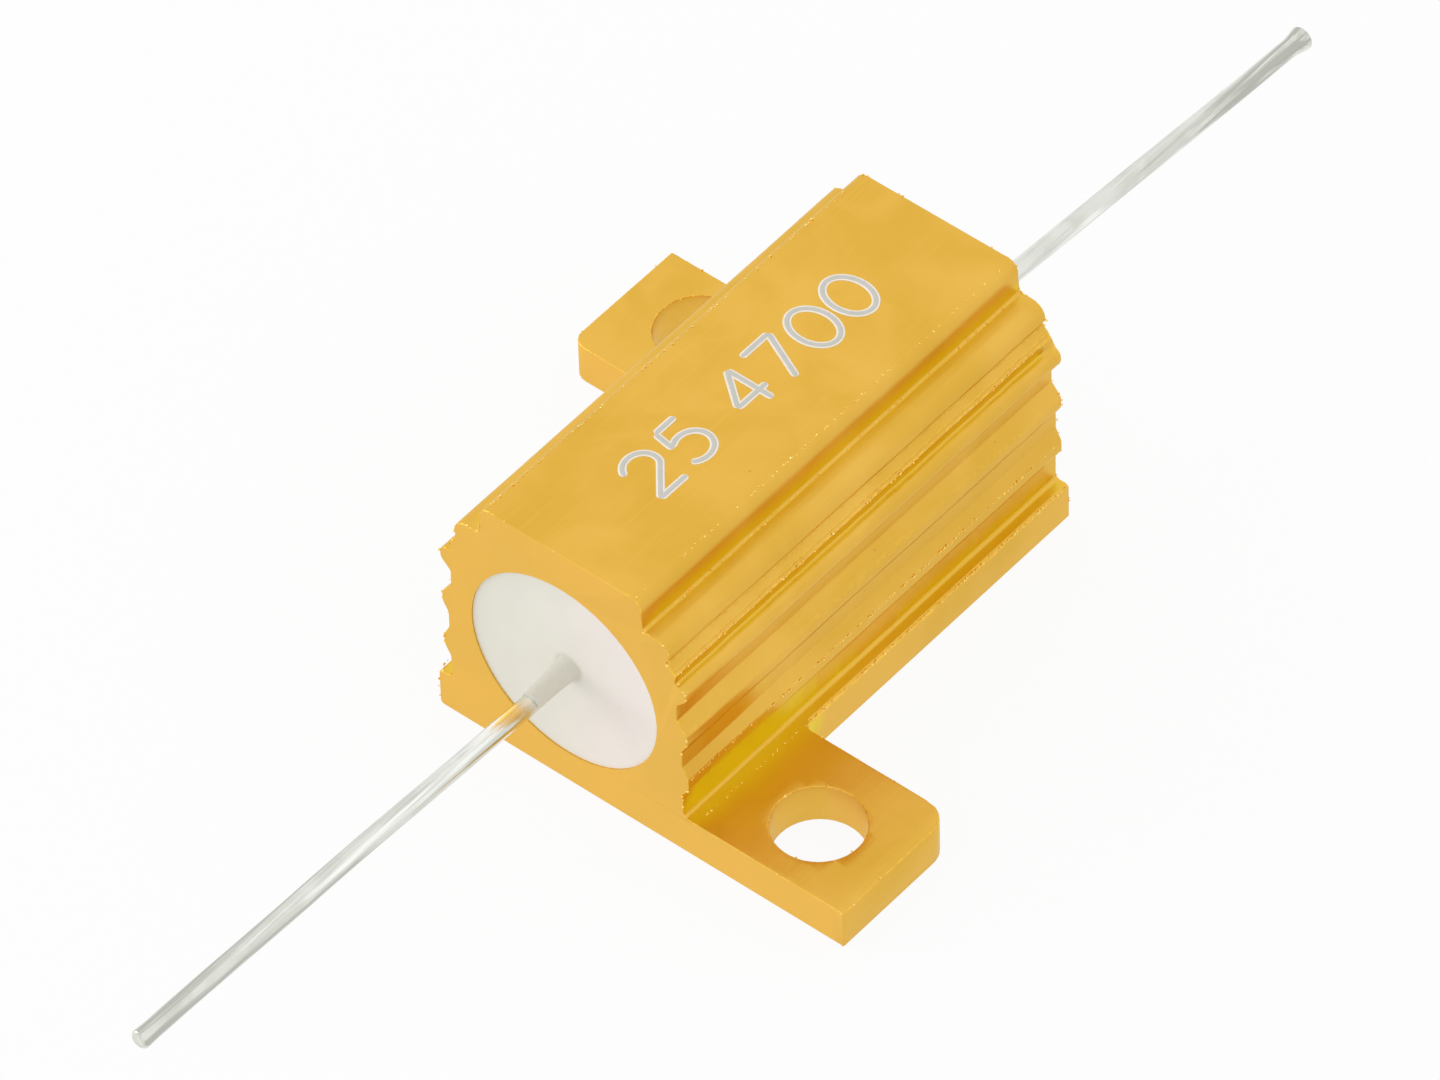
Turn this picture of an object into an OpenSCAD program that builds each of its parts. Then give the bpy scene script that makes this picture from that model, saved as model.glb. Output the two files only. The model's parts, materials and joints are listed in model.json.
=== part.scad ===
// Aluminium housed wirewound power resistor, about 10 W.
// A finned extrusion with one mounting tab at each end, on opposite sides, holds a
// wound ceramic rod in a white filling. A tinned lead leaves each end.
// +Y runs along the leads, +Z up from the mounting face, origin at that face's centre.

/* [Housing] */
// Length of the extrusion between its two sawn ends
body_l = 13.7; // [12.5:0.1:18]
// Height of the flat top above the mounting face
body_h = 7.7; // [7.5:0.05:9]
// Width of the base strip
base_w = 7.78; // [7.6:0.02:9]
// Thickness of the base strip and the tabs
base_t = 1.15; // [0.8:0.05:1.4]
// Radius of the long edges of the base strip
base_edge_r = 0.12; // [0.04:0.01:0.3]
// Diameter of the round bore
bore_d = 5.56; // [4.8:0.02:5.7]
// Height of the bore's axis
bore_z = 3.74; // [3.7:0.02:4]

/* [Ribs] */
// Width across the three ribs of each side
rib_w = 7.36; // [7.1:0.02:7.6]
// Height of the lowest rib's middle
rib_z = 2.35; // [2.2:0.01:2.45]
// Distance from one rib to the next
rib_pitch = 1.49; // [1.42:0.01:1.52]
// Height of a rib's flat crest
rib_crest_h = 0.32; // [0.2:0.02:0.5]
// Height of the slope under a rib
rib_under_h = 0.3; // [0.1:0.02:0.35]
// Height of the slope above a rib
rib_over_h = 0.36; // [0.2:0.02:0.4]
// Widths across the grooves, from the base up
root_w = [7, 7.02, 6.78, 6.1]; // [5.9:0.02:7.1]
// Radius of the ribs' crests
crest_r = 0.28; // [0.05:0.01:0.4]
// Radius of the grooves
groove_r = 0.12; // [0.02:0.01:0.2]

/* [Top] */
// Width across the round shoulders
shoulder_w = 6.44; // [6.3:0.02:6.8]
// Height of the shelf on top of the shoulders
shelf_z = 6.78; // [6.7:0.01:7]
// Height of the shoulder's lower edge
shoulder_z = 6.32; // [6.26:0.02:6.4]
// Height of the upper end of the groove below the shoulder
neck_z = 6.02; // [5.98:0.02:6.1]
// Radius of the shoulder's lower edge
shoulder_foot_r = 0.04; // [0.02:0.01:0.1]
// Radius of the shoulder's upper edge
shoulder_r = 0.48; // [0.1:0.02:0.6]
// Width of the raised top plate
plate_w = 4.76; // [4:0.02:5.2]
// How far the plate's foot stands out from its top on each side
plate_draft = 0.07; // [0:0.01:0.15]
// Radius of the groove along the plate's foot
plate_foot_r = 0.1; // [0.02:0.01:0.2]
// Radius of the plate's top edges
plate_r = 0.46; // [0.05:0.01:0.6]

/* [Mounting tabs] */
// Width over both tabs
tabs_w = 16.5; // [15:0.1:20]
// Length of the front tab along the housing
front_tab_l = 3.92; // [3.4:0.02:5]
// Length of the rear tab along the housing
rear_tab_l = 3.74; // [3.4:0.02:5]
// Radius of each tab's rounded corner
tab_r = 0.4; // [0.1:0.05:1.2]
// Radius where a tab meets the base strip
notch_r = 0.2; // [0.1:0.05:0.8]
// Radius of each tab's corner at the housing's end
tab_end_r = 0.05; // [0.02:0.01:0.4]
// Diameter of the screw holes
hole_d = 2.3; // [2:0.05:2.6]
// Distance between the holes across the housing
hole_dx = 12.12; // [11.8:0.02:12.6]
// Distance between the holes along the housing
hole_dy = 10.34; // [9.9:0.02:10.6]
// How far the middle between the holes lies behind the housing's middle
hole_y = 0.11; // [0:0.01:0.3]

/* [Filling] */
// Depth of the filling's face below the housing's end
fill_depth = 0.16; // [0.1:0.01:0.5]
// Depth of the filling at the bore's wall
fill_rim_depth = 0.05; // [0:0.01:0.1]

/* [Element] */
// Length of the ceramic rod
core_l = 8.6; // [7:0.1:10]
// Diameter of the ceramic rod
core_d = 3.2; // [2.4:0.1:3.6]
// Wall of the end caps
cap_wall = 0.22; // [0.15:0.01:0.4]
// Length of a cap's skirt over the rod
cap_skirt_l = 1.4; // [1:0.1:2]
// Thickness of a cap's end
cap_end_t = 0.35; // [0.2:0.05:0.6]
// Diameter of the resistance wire
wire_d = 0.18; // [0.12:0.01:0.24]
// Distance from one turn of the wire to the next
wire_pitch = 0.36; // [0.3:0.01:0.6]
// Length of the wire's run on each cap
wire_cap_run = 0.6; // [0.4:0.05:0.8]

/* [Leads] */
// Diameter of the leads
lead_d = 0.48; // [0.4:0.02:0.8]
// Length of the front lead beyond its bend
front_lead_l = 14.6; // [5:0.1:30]
// Length of the rear lead beyond its bend
rear_lead_l = 13; // [5:0.1:30]
// Angle by which the front lead leans to the left
front_lean = 1; // [0.5:0.1:5]
// Angle by which the rear lead leans to the right
rear_lean = 2.8; // [0.5:0.1:5]
// Radius of the bend at a lead's root
lead_bend_r = 1.5; // [1:0.1:3]

/* [Fits] */
// Gap between the filling and what it surrounds or fills
fill_gap = 0.02; // [0.01:0.01:0.05]
// Gap between the rod and its caps and wire
core_gap = 0.01; // [0.005:0.005:0.03]

/* [Hidden] */
$fn = 64;

gold = [0.91, 0.71, 0.28];
corner_steps = 5;          // straight pieces in each rounded corner
edge_share = 0.98;         // most of an edge that the arcs at its ends take up
side_ribs = 3;
tab_root = 1;              // how far a tab reaches into the base strip
cut = 1;                   // how far a cutter runs past what it cuts

cap_d = core_d + 2 * core_gap + 2 * cap_wall;
cap_face_y = core_l / 2 + cap_end_t;
bare_core_l = core_l - 2 * cap_skirt_l;

// The filling's face is nearly flat and turns up towards the bore's wall
dish_steps = 8;
dish_power = 6;

// Coil: rings of ring_sides points, turn_steps rings to a turn
ring_sides = 8;
turn_steps = 24;
wire_r = wire_d / 2;
wire_half_l = bare_core_l / 2 + wire_cap_run;
// A chord of the coil dips towards the axis, so its corners lie a little further out
chord_swell = 1 / cos(180 / turn_steps);
wire_core_r = (core_d / 2 + core_gap + wire_r) * chord_swell;
wire_cap_r = (cap_d / 2 + core_gap + wire_r) * chord_swell;
// The wire climbs from the rod to the cap before it reaches the skirt
climb_end_y = bare_core_l / 2 - wire_r - core_gap;
climb_l = 0.3;

// Fraction of the way from a to b, held to 0..1 and eased at both ends
function eased(v, a, b) = let (t = min(1, max(0, (v - a) / (b - a)))) t * t * (3 - 2 * t);

// An outline's rows are [x, y, radius]
function place(row) = [row[0], row[1]];
function towards(p, q) = (place(q) - place(p)) / norm(place(q) - place(p));

// Corners that share an edge share its length in the ratio of their radii
function room(p, q) = edge_share * norm(place(q) - place(p)) * p[2] / (p[2] + q[2]);

// Corner p between a and b as an arc, held to the room that its edges have
function rounded(a, p, b) =
    p[2] == 0 ? [place(p)] :
    let (
        u = towards(p, a),
        v = towards(p, b),
        half = acos(u * v) / 2,
        turn = 180 - 2 * half,
        reach = min(p[2] / tan(half), room(p, a), room(p, b)),
        centre = place(p) + (u + v) / norm(u + v) * reach / cos(half),
        from = place(p) + u * reach - centre,
        to = place(p) + v * reach - centre
    )
    [for (i = [0:corner_steps]) let (t = i / corner_steps)
        centre + (sin((1 - t) * turn) * from + sin(t * turn) * to) / sin(turn)];

function rounded_outline(rows) =
    let (n = len(rows))
    [for (i = [0:n - 1], q = rounded(rows[(i + n - 1) % n], rows[i], rows[(i + 1) % n])) q];

// One rib of the right side: groove below it, crest, groove above it
function rib_rows(i) =
    let (z = rib_z + i * rib_pitch)
    [
        [root_w[i] / 2, z - rib_crest_h / 2 - rib_under_h, groove_r],
        [rib_w / 2, z - rib_crest_h / 2, crest_r],
        [rib_w / 2, z + rib_crest_h / 2, crest_r],
        [root_w[i + 1] / 2, z + rib_crest_h / 2 + rib_over_h, groove_r]
    ];

// Right half of the extrusion's section, from the mounting face up
right_rows = concat(
    [
        [base_w / 2, 0, base_edge_r],
        [base_w / 2, base_t, base_edge_r],
        [root_w[0] / 2, base_t, groove_r]
    ],
    [for (i = [0:side_ribs - 1], row = rib_rows(i)) row],
    [
        [root_w[side_ribs] / 2, neck_z, groove_r],
        [shoulder_w / 2, shoulder_z, shoulder_foot_r],
        [shoulder_w / 2, shelf_z, shoulder_r],
        [plate_w / 2 + plate_draft, shelf_z, plate_foot_r],
        [plate_w / 2, body_h, plate_r]
    ]
);

left_rows = [for (i = [len(right_rows) - 1:-1:0])
    [-right_rows[i][0], right_rows[i][1], right_rows[i][2]]];

// Lays a shape that was made along +Z on the bore's axis, from y onwards
module on_axis(y) {
    translate([0, y, bore_z]) rotate([-90, 0, 0]) children();
}

module extrusion() {
    translate([0, body_l / 2, 0]) rotate([90, 0, 0])
        linear_extrude(body_l) polygon(rounded_outline(concat(right_rows, left_rows)));
}

// Tab on the right of the front end
module tab(tab_l) {
    inner = base_w / 2 - tab_root;
    front = -body_l / 2;
    linear_extrude(base_t) polygon(rounded_outline([
        [inner, front, 0],
        [tabs_w / 2, front, tab_end_r],
        [tabs_w / 2, front + tab_l, tab_r],
        [base_w / 2, front + tab_l, notch_r],
        [base_w / 2, front + tab_l + notch_r, 0],
        [inner, front + tab_l + notch_r, 0]
    ]));
}

module housing() {
    color(gold)
    difference() {
        union() {
            extrusion();
            tab(front_tab_l);
            rotate([0, 0, 180]) tab(rear_tab_l);
        }
        on_axis(-body_l / 2 - cut) cylinder(d = bore_d, h = body_l + 2 * cut);
        for (side = [-1, 1])
            translate([side * hole_dx / 2, hole_y - side * hole_dy / 2, -cut])
                cylinder(d = hole_d, h = base_t + 2 * cut);
    }
}

// White filling round the element, with a slightly dished face at each end
module potting() {
    fill_r = bore_d / 2 - fill_gap;
    function face(r) = body_l / 2 - fill_depth
        + (fill_depth - fill_rim_depth) * pow(r / fill_r, dish_power);
    dish = [for (i = [0:dish_steps]) let (r = fill_r * i / dish_steps) [r, face(r)]];
    mirrored_dish = [for (i = [dish_steps:-1:0]) [dish[i][0], -dish[i][1]]];
    coil_r = wire_core_r + wire_r + fill_gap;
    end_r = wire_cap_r + wire_r + fill_gap;
    end_y = climb_end_y - climb_l - wire_r;
    end_l = cap_face_y + fill_gap - end_y;

    color([0.92, 0.91, 0.88])
    difference() {
        on_axis(0) rotate_extrude() polygon(concat(dish, mirrored_dish));
        on_axis(-core_l / 2) cylinder(r = coil_r, h = core_l);
        on_axis(-body_l / 2) cylinder(r = lead_d / 2 + fill_gap, h = body_l);
        on_axis(end_y) cylinder(r = end_r, h = end_l);
        on_axis(-end_y - end_l) cylinder(r = end_r, h = end_l);
    }
}

module ceramic_core() {
    color([0.95, 0.94, 0.9])
    on_axis(-core_l / 2) cylinder(d = core_d, h = core_l);
}

// Cup pressed over the rod's rear end
module end_cap() {
    color([0.72, 0.72, 0.7])
    difference() {
        on_axis(core_l / 2 - cap_skirt_l) cylinder(d = cap_d, h = cap_skirt_l + cap_end_t);
        on_axis(core_l / 2 - cap_skirt_l - cut)
            cylinder(d = core_d + 2 * core_gap, h = cap_skirt_l + cut);
    }
}

module front_end_cap() {
    rotate([0, 0, 180]) end_cap();
}

module rear_end_cap() {
    end_cap();
}

// Bare wire wound on the rod, climbing onto the cap at each end
module resistance_winding() {
    steps = round(2 * wire_half_l / wire_pitch * turn_steps);
    function coil_r(y) = wire_core_r
        + (wire_cap_r - wire_core_r) * eased(abs(y), climb_end_y - climb_l, climb_end_y);
    points = [for (i = [0:steps])
        let (y = -wire_half_l + i * wire_pitch / turn_steps, turn = 360 * i / turn_steps)
        for (k = [0:ring_sides - 1])
            let (a = 360 * k / ring_sides, r = coil_r(y) + wire_r * cos(a))
            [r * sin(turn), y + wire_r * sin(a), bore_z + r * cos(turn)]];
    function at(i, k) = i * ring_sides + k % ring_sides;
    side_faces = [for (i = [0:steps - 1], k = [0:ring_sides - 1])
        each [[at(i, k), at(i, k + 1), at(i + 1, k)], [at(i, k + 1), at(i + 1, k + 1), at(i + 1, k)]]];
    first_face = [for (k = [ring_sides - 1:-1:0]) at(0, k)];
    last_face = [for (k = [0:ring_sides - 1]) at(steps, k)];

    color([0.55, 0.5, 0.45])
    polyhedron(points, concat(side_faces, [first_face, last_face]), convexity = 10);
}

// Lead that leaves the rear end and leans to the right
module lead(length, lean) {
    bend_y = body_l / 2 - fill_rim_depth;
    color([0.84, 0.84, 0.81]) {
        on_axis(cap_face_y) cylinder(d = lead_d, h = bend_y - cap_face_y);
        translate([lead_bend_r, bend_y, bore_z]) mirror([1, 0, 0])
            rotate_extrude(angle = lean) translate([lead_bend_r, 0]) circle(d = lead_d);
        translate([lead_bend_r * (1 - cos(lean)), lead_bend_r * sin(lean), 0])
            on_axis(bend_y) rotate([0, lean, 0]) cylinder(d = lead_d, h = length);
    }
}

module front_lead() {
    rotate([0, 0, 180]) lead(front_lead_l, front_lean);
}

module rear_lead() {
    lead(rear_lead_l, rear_lean);
}

housing();
potting();
ceramic_core();
resistance_winding();
front_end_cap();
rear_end_cap();
front_lead();
rear_lead();
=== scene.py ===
import json
from math import cos, pi, radians, sin, tau

import bmesh
import bpy
from mathutils import Matrix, Vector, noise
from mathutils.bvhtree import BVHTree


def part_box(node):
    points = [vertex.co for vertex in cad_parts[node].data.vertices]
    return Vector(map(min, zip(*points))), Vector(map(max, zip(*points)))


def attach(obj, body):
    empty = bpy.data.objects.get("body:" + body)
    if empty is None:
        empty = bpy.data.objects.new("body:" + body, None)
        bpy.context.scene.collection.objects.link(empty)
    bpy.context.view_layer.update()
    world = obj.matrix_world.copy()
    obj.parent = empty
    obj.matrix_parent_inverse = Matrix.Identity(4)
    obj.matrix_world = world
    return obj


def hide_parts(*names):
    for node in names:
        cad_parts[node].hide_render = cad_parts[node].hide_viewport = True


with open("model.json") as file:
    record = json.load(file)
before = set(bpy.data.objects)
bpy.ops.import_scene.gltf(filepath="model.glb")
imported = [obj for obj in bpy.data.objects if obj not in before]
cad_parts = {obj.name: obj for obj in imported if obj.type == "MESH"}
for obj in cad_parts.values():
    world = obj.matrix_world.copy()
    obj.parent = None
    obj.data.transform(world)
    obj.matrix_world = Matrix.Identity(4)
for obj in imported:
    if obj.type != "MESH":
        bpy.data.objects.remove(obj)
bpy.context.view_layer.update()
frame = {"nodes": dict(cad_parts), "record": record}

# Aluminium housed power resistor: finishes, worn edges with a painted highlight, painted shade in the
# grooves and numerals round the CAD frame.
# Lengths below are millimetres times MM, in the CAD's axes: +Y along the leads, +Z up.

MM = 0.001
NEAR = 0.01 * MM              # places closer than this count as the same
noise.seed_set(1)             # without a seed, mathutils draws another noise each run
scene = bpy.context.scene
record = frame["record"]
mounts = {m["name"]: m for m in record["mounts"]}

# ---------------------------------------------------------------- driving sizes

# housing, as the CAD part has it
BASE_T = 1.15 * MM            # thickness of the base strip and the tabs
TAB_R = 0.4 * MM              # corner radius of the tabs
TAB_ROOT_X = 3.9 * MM         # the tabs reach out from here
FRONT_TAB_L = 3.92 * MM
HOLE_X = 6.06 * MM
HOLE_FROM_MIDDLE = 5.17 * MM  # distance of a screw hole along Y from the middle of the two
PLATE_W = 4.76 * MM
PLATE_R = 0.46 * MM           # radius of the top plate's long edges

# housing, where the finished one differs
CORNER_R = 0.65 * MM          # radius of the front tab's corner towards the middle of the housing
PLATE_EDGE_R = 0.3 * MM
PLATE_FLAT_X = 1.92 * MM      # half the width of the top plate's flat part
RIM_R = 0.035 * MM            # radius worn on sawn and punched edges
RIM_STEPS = 3
STEP_X = 2.9 * MM             # the step above the upper ribs lies outside this, on both sides
STEP_LOW = 5.4 * MM           # faces between these heights are cut for the step
STEP_HIGH = 6.4 * MM
NECK_MOVES = (                # height in the CAD section, then the move out and up there, all in mm
    (6.3, 0, 0), (6.2, 0.005, 0.01), (6.1, 0.045, 0.055), (6.02, 0.105, 0.1), (5.93, 0.175, 0.1),
    (5.85, 0.25, 0.105), (5.8, 0.208, 0.105), (5.77, 0.185, 0.105),
)
OPEN_STEP = NECK_MOVES + (
    (5.75, 0.16, 0.11), (5.73, 0.125, 0.095), (5.68, 0.018, -0.03), (5.65, -0.042, -0.05),
    (5.63, -0.055, -0.052), (5.6, -0.038, -0.032), (5.57, 0, 0),
)
CLOSED_STEP = NECK_MOVES + (  # where the step has run out, near the rear end
    (5.75, 0.17, 0.095), (5.73, 0.15, 0.085), (5.68, 0.1, 0.055), (5.65, 0.07, 0.04),
    (5.63, 0.051, 0.03), (5.6, 0.025, 0.012), (5.57, 0, 0),
)
CLOSING = (0.5 * MM, 0.1 * MM)  # the step runs out between these distances from the rear end
WAVE_STEP = 0.16 * MM         # spacing of the cross sections that carry the die's waviness
WAVE_HEIGHT = 0.01 * MM
LIP_Z = 5.72 * MM             # the step's lips wander more than the rest
LIP_WAVE = 0.03 * MM
TAB_STEP = 0.4 * MM           # spacing of the cuts that carry the painted-shade mask across a tab
RIDGES = ((2.22, 7.67), (2.5, 6.785), (3.38, 5.87), (3.675, 2.5), (3.88, 1.145))  # x and z in mm

# filling and leads
FILL_GAP = 0.02 * MM
FILL_DEPTH = 0.16 * MM        # depth of the filling's face in the middle
FILL_RIM_DEPTH = 0.05 * MM
FILL_SIDES = 96
COLLAR_RINGS = 16
FACE_RINGS = 20
COLLAR_H = 1.35 * MM          # how far the filling climbs a lead
COLLAR_W = 0.1 * MM
LUMP_HEIGHT = 0.03 * MM
FINE_LUMP_HEIGHT = 0.006 * MM
WIRE_SIDES = 40
WIRE_STEP = 0.12 * MM
WIRE_SWAY = 0.022 * MM
TIP_RINGS = (0.06 * MM, 0.025 * MM, 0)  # distances of the last three rings from the cut tip

# print
NUMERALS = "25 4700"
NUMERAL_H = 1.6 * MM
NUMERALS_L = 8.4 * MM
PEN_R = 0.105 * MM            # half the width of a stroke
PEN_STEP = 0.03 * MM
PRINT_LIFT = 0.003 * MM

# ---------------------------------------------------------------- frame helpers


def node_size(name):
    low, high = (Vector(corner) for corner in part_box(name))
    return low, high


def smooth_step(value, start, end):
    t = min(1.0, max(0.0, (value - start) / (end - start)))
    return t * t * (3 - 2 * t)


TAB_END_X, HALF_L, TOP_Z = node_size("housing")[1]
BORE_Z = (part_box("potting")[0][2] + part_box("potting")[1][2]) / 2
FILL_R = (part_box("potting")[1][2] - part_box("potting")[0][2]) / 2
LEAD_R = mounts["front_lead_wire"]["dims"]["r_mm"] * MM
HOLE_R = mounts["tab_holes"]["dims"]["hole_r_mm"] * MM
HOLE_Y = mounts["tab_holes"]["pos_m"][1]

# ---------------------------------------------------------------- camera


def add_camera():
    azimuth, elevation, roll = radians(40.917), radians(47.253), radians(-1.721)
    target = Vector((-1.068, 0, 1.674)) * MM
    distance = 350.28 * MM
    back = Vector((sin(azimuth) * cos(elevation), -cos(azimuth) * cos(elevation), sin(elevation)))
    level_right = Vector((cos(azimuth), sin(azimuth), 0))
    level_up = back.cross(level_right)
    right = level_right * cos(roll) + level_up * sin(roll)
    up = level_up * cos(roll) - level_right * sin(roll)

    camera = bpy.data.objects.new("camera", bpy.data.cameras.new("camera"))
    scene.collection.objects.link(camera)
    axes = Matrix((right, up, back)).transposed()
    camera.matrix_world = Matrix.Translation(target + back * distance) @ axes.to_4x4()
    camera.data.sensor_width = 36
    camera.data.lens = 375
    camera.data.clip_start = 50 * MM
    camera.data.clip_end = 2000 * MM
    scene.camera = camera


# ---------------------------------------------------------------- node groups


class Nodes:
    """Adds and joins nodes of one tree with few words."""

    def __init__(self, tree):
        self.tree = tree

    def add(self, kind, values=None, **settings):
        node = self.tree.nodes.new(kind)
        for key, value in settings.items():
            setattr(node, key, value)
        for key, value in (values or {}).items():
            self.feed(node.inputs[key], value)
        return node

    def feed(self, socket, value):
        if isinstance(value, bpy.types.NodeSocket):
            self.tree.links.new(value, socket)
        else:
            socket.default_value = value

    def math(self, operation, a, b=0.0):
        return self.add("ShaderNodeMath", {0: a, 1: b}, operation=operation).outputs[0]

    def times(self, a, b):
        return self.math("MULTIPLY", a, b)

    def plus(self, a, b):
        return self.math("ADD", a, b)

    def minus(self, a, b):
        return self.math("SUBTRACT", a, b)

    def ramp(self, value, low, high, out_low=0.0, out_high=1.0):
        node = self.add(
            "ShaderNodeMapRange",
            {"Value": value, "From Min": low, "From Max": high, "To Min": out_low, "To Max": out_high},
            interpolation_type="SMOOTHSTEP",
        )
        return node.outputs["Result"]

    def mix(self, factor, a, b):
        node = self.add("ShaderNodeMix", data_type="RGBA")
        self.feed(node.inputs["Factor"], factor)
        self.feed(node.inputs[6], a)
        self.feed(node.inputs[7], b)
        return node.outputs[2]

    def random(self, kind, low, high, seed):
        """Random number or vector for each point, between low and high."""
        node = self.add("FunctionNodeRandomValue", data_type=kind)
        first = {"FLOAT_VECTOR": 0, "FLOAT": 2}[kind]
        self.feed(node.inputs[first], low)
        self.feed(node.inputs[first + 1], high)
        self.feed(node.inputs["Seed"], seed)
        return node.outputs[0 if kind == "FLOAT_VECTOR" else 1]

    def dress(self, geometry, finish, smooth=True):
        """Gives a grown mesh its shading and its material."""
        shaded = self.add("GeometryNodeSetShadeSmooth", {"Geometry": geometry, "Shade Smooth": smooth})
        real = self.add("GeometryNodeRealizeInstances", {"Geometry": shaded.outputs["Geometry"]})
        dressed = self.add(
            "GeometryNodeSetMaterial", {"Geometry": real.outputs["Geometry"], "Material": finish}
        )
        return dressed.outputs["Geometry"]

    def scaled(self, vector, scale):
        """Vector times a number."""
        node = self.add("ShaderNodeVectorMath", {0: vector, "Scale": scale}, operation="SCALE")
        return node.outputs[0]

    def stored(self, name):
        """Number that each point of a source mesh carries under a name."""
        node = self.add("GeometryNodeInputNamedAttribute", {"Name": name}, data_type="FLOAT")
        return node.outputs["Attribute"]

    def noise(self, vector, scale=1.0, detail=3.0, roughness=0.5, distortion=0.0):
        values = {"Vector": vector, "Scale": scale, "Detail": detail}
        values.update({"Roughness": roughness, "Distortion": distortion})
        return self.add("ShaderNodeTexNoise", values).outputs["Fac"]


def new_group(name, inputs, outputs, kind="Shader"):
    """Node group whose sockets are listed as label: default, or label: socket type where there is none."""
    tree = bpy.data.node_groups.new(name, kind + "NodeTree")
    for label, default in inputs.items():
        named_type = isinstance(default, str)
        number_type = "NodeSocketInt" if isinstance(default, int) else "NodeSocketFloat"
        socket_type = default if named_type else number_type
        socket = tree.interface.new_socket(label, in_out="INPUT", socket_type=socket_type)
        if not named_type:
            socket.default_value = default
    for label in outputs:
        socket_type = "NodeSocketGeometry" if kind == "Geometry" else "NodeSocketFloat"
        tree.interface.new_socket(label, in_out="OUTPUT", socket_type=socket_type)
    kit = Nodes(tree)
    source = kit.add("NodeGroupInput").outputs
    sink = kit.add("NodeGroupOutput").inputs
    return kit, source, sink


def scaled_place(kit, x, y, z):
    """Object coordinates times a number of cycles per metre along each axis."""
    where = kit.add("ShaderNodeTexCoord").outputs["Object"]
    scale = kit.add("ShaderNodeCombineXYZ", {"X": x, "Y": y, "Z": z}).outputs["Vector"]
    return kit.add("ShaderNodeMapping", {"Vector": where, "Scale": scale}).outputs["Vector"]


def make_drawn_lines():
    """Fine lines that a die leaves along Y, from -0.5 to 0.5 in height."""
    kit, source, sink = new_group(
        "drawn_lines", {"Across": 9000.0, "Along": 260.0}, ["Height", "Mask"]
    )
    across, along = source["Across"], source["Along"]
    lines = kit.noise(scaled_place(kit, across, along, across), detail=4.0, roughness=0.65)
    kit.feed(sink["Height"], kit.minus(lines, 0.5))
    kit.feed(sink["Mask"], kit.ramp(lines, 0.52, 0.7))
    return kit.tree


def make_cloud():
    """Slow change of tone over the surface, from 0 to 1."""
    kit, source, sink = new_group("cloud", {"Scale": 300.0, "Contrast": 0.25}, ["Value"])
    scale = source["Scale"]
    cloud = kit.noise(scaled_place(kit, scale, scale, scale), detail=3.0, distortion=0.6)
    low = kit.minus(0.5, source["Contrast"])
    high = kit.plus(0.5, source["Contrast"])
    kit.feed(sink["Value"], kit.ramp(cloud, low, high))
    return kit.tree


def make_specks():
    """Small pits and grains: 1 inside a speck, 0 between them."""
    kit, source, sink = new_group("specks", {"Scale": 4000.0, "Size": 0.12, "Share": 0.2}, ["Mask"])
    scale = source["Scale"]
    cells = kit.add("ShaderNodeTexVoronoi", {"Vector": scaled_place(kit, scale, scale, scale), "Scale": 1.0})
    spot = kit.ramp(cells.outputs["Distance"], 0.0, source["Size"], 1.0, 0.0)
    chance = kit.add("ShaderNodeSeparateXYZ", {"Vector": cells.outputs["Color"]}).outputs["X"]
    chosen = kit.math("LESS_THAN", chance, source["Share"])
    kit.feed(sink["Mask"], kit.times(spot, chosen))
    return kit.tree


def make_grain():
    """Even fine roughness of a blasted, etched or cast surface, from -0.5 to 0.5."""
    kit, source, sink = new_group("grain", {"Scale": 14000.0}, ["Height"])
    scale = source["Scale"]
    grain = kit.noise(scaled_place(kit, scale, scale, scale), detail=3.0, roughness=0.6)
    kit.feed(sink["Height"], kit.minus(grain, 0.5))
    return kit.tree


def make_saw_marks():
    """Shallow scratches that a saw leaves across a cut end, along X, from -0.5 to 0.5."""
    kit, source, sink = new_group("saw_marks", {"Along": 260.0, "Up": 8000.0}, ["Height"])
    along, up = source["Along"], source["Up"]
    marks = kit.noise(scaled_place(kit, along, along, up), detail=3.0, roughness=0.6, distortion=0.4)
    kit.feed(sink["Height"], kit.minus(marks, 0.5))
    return kit.tree


GROUPS = {
    "drawn_lines": make_drawn_lines(),
    "saw_marks": make_saw_marks(),
    "cloud": make_cloud(),
    "specks": make_specks(),
    "grain": make_grain(),
}

# ---------------------------------------------------------------- materials


def new_material(name):
    material = bpy.data.materials.new(name)
    material.use_nodes = True
    kit = Nodes(material.node_tree)
    shader = next(n for n in kit.tree.nodes if n.type == "BSDF_PRINCIPLED")
    return material, kit, shader


def effect(kit, name, **values):
    node = kit.add("ShaderNodeGroup", node_tree=GROUPS[name])
    for label, value in values.items():
        kit.feed(node.inputs[label], value)
    return node.outputs


def facing(kit, axis):
    """How squarely the surface faces along one axis, either way, from 0 to 1."""
    normal = kit.add("ShaderNodeTexCoord").outputs["Normal"]
    part = kit.add("ShaderNodeSeparateXYZ", {"Vector": normal}).outputs[axis]
    return kit.math("ABSOLUTE", part)


def coat(kit, shader, tone, rough, metallic):
    kit.feed(shader.inputs["Base Color"], tone)
    kit.feed(shader.inputs["Roughness"], rough)
    shader.inputs["Metallic"].default_value = metallic


def bump(kit, shader, height, distance):
    node = kit.add("ShaderNodeBump", {"Height": height, "Distance": distance, "Strength": 1.0})
    kit.feed(shader.inputs["Normal"], node.outputs["Normal"])


def shade(red, green, blue):
    """Colour from sRGB numbers up to 255."""
    def linear(value):
        value /= 255
        return value / 12.92 if value <= 0.04045 else ((value + 0.055) / 1.055) ** 2.4
    return (linear(red), linear(green), linear(blue), 1.0)


def mesh_mask(kit, name):
    return kit.add("ShaderNodeAttribute", attribute_name=name).outputs["Fac"]


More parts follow.
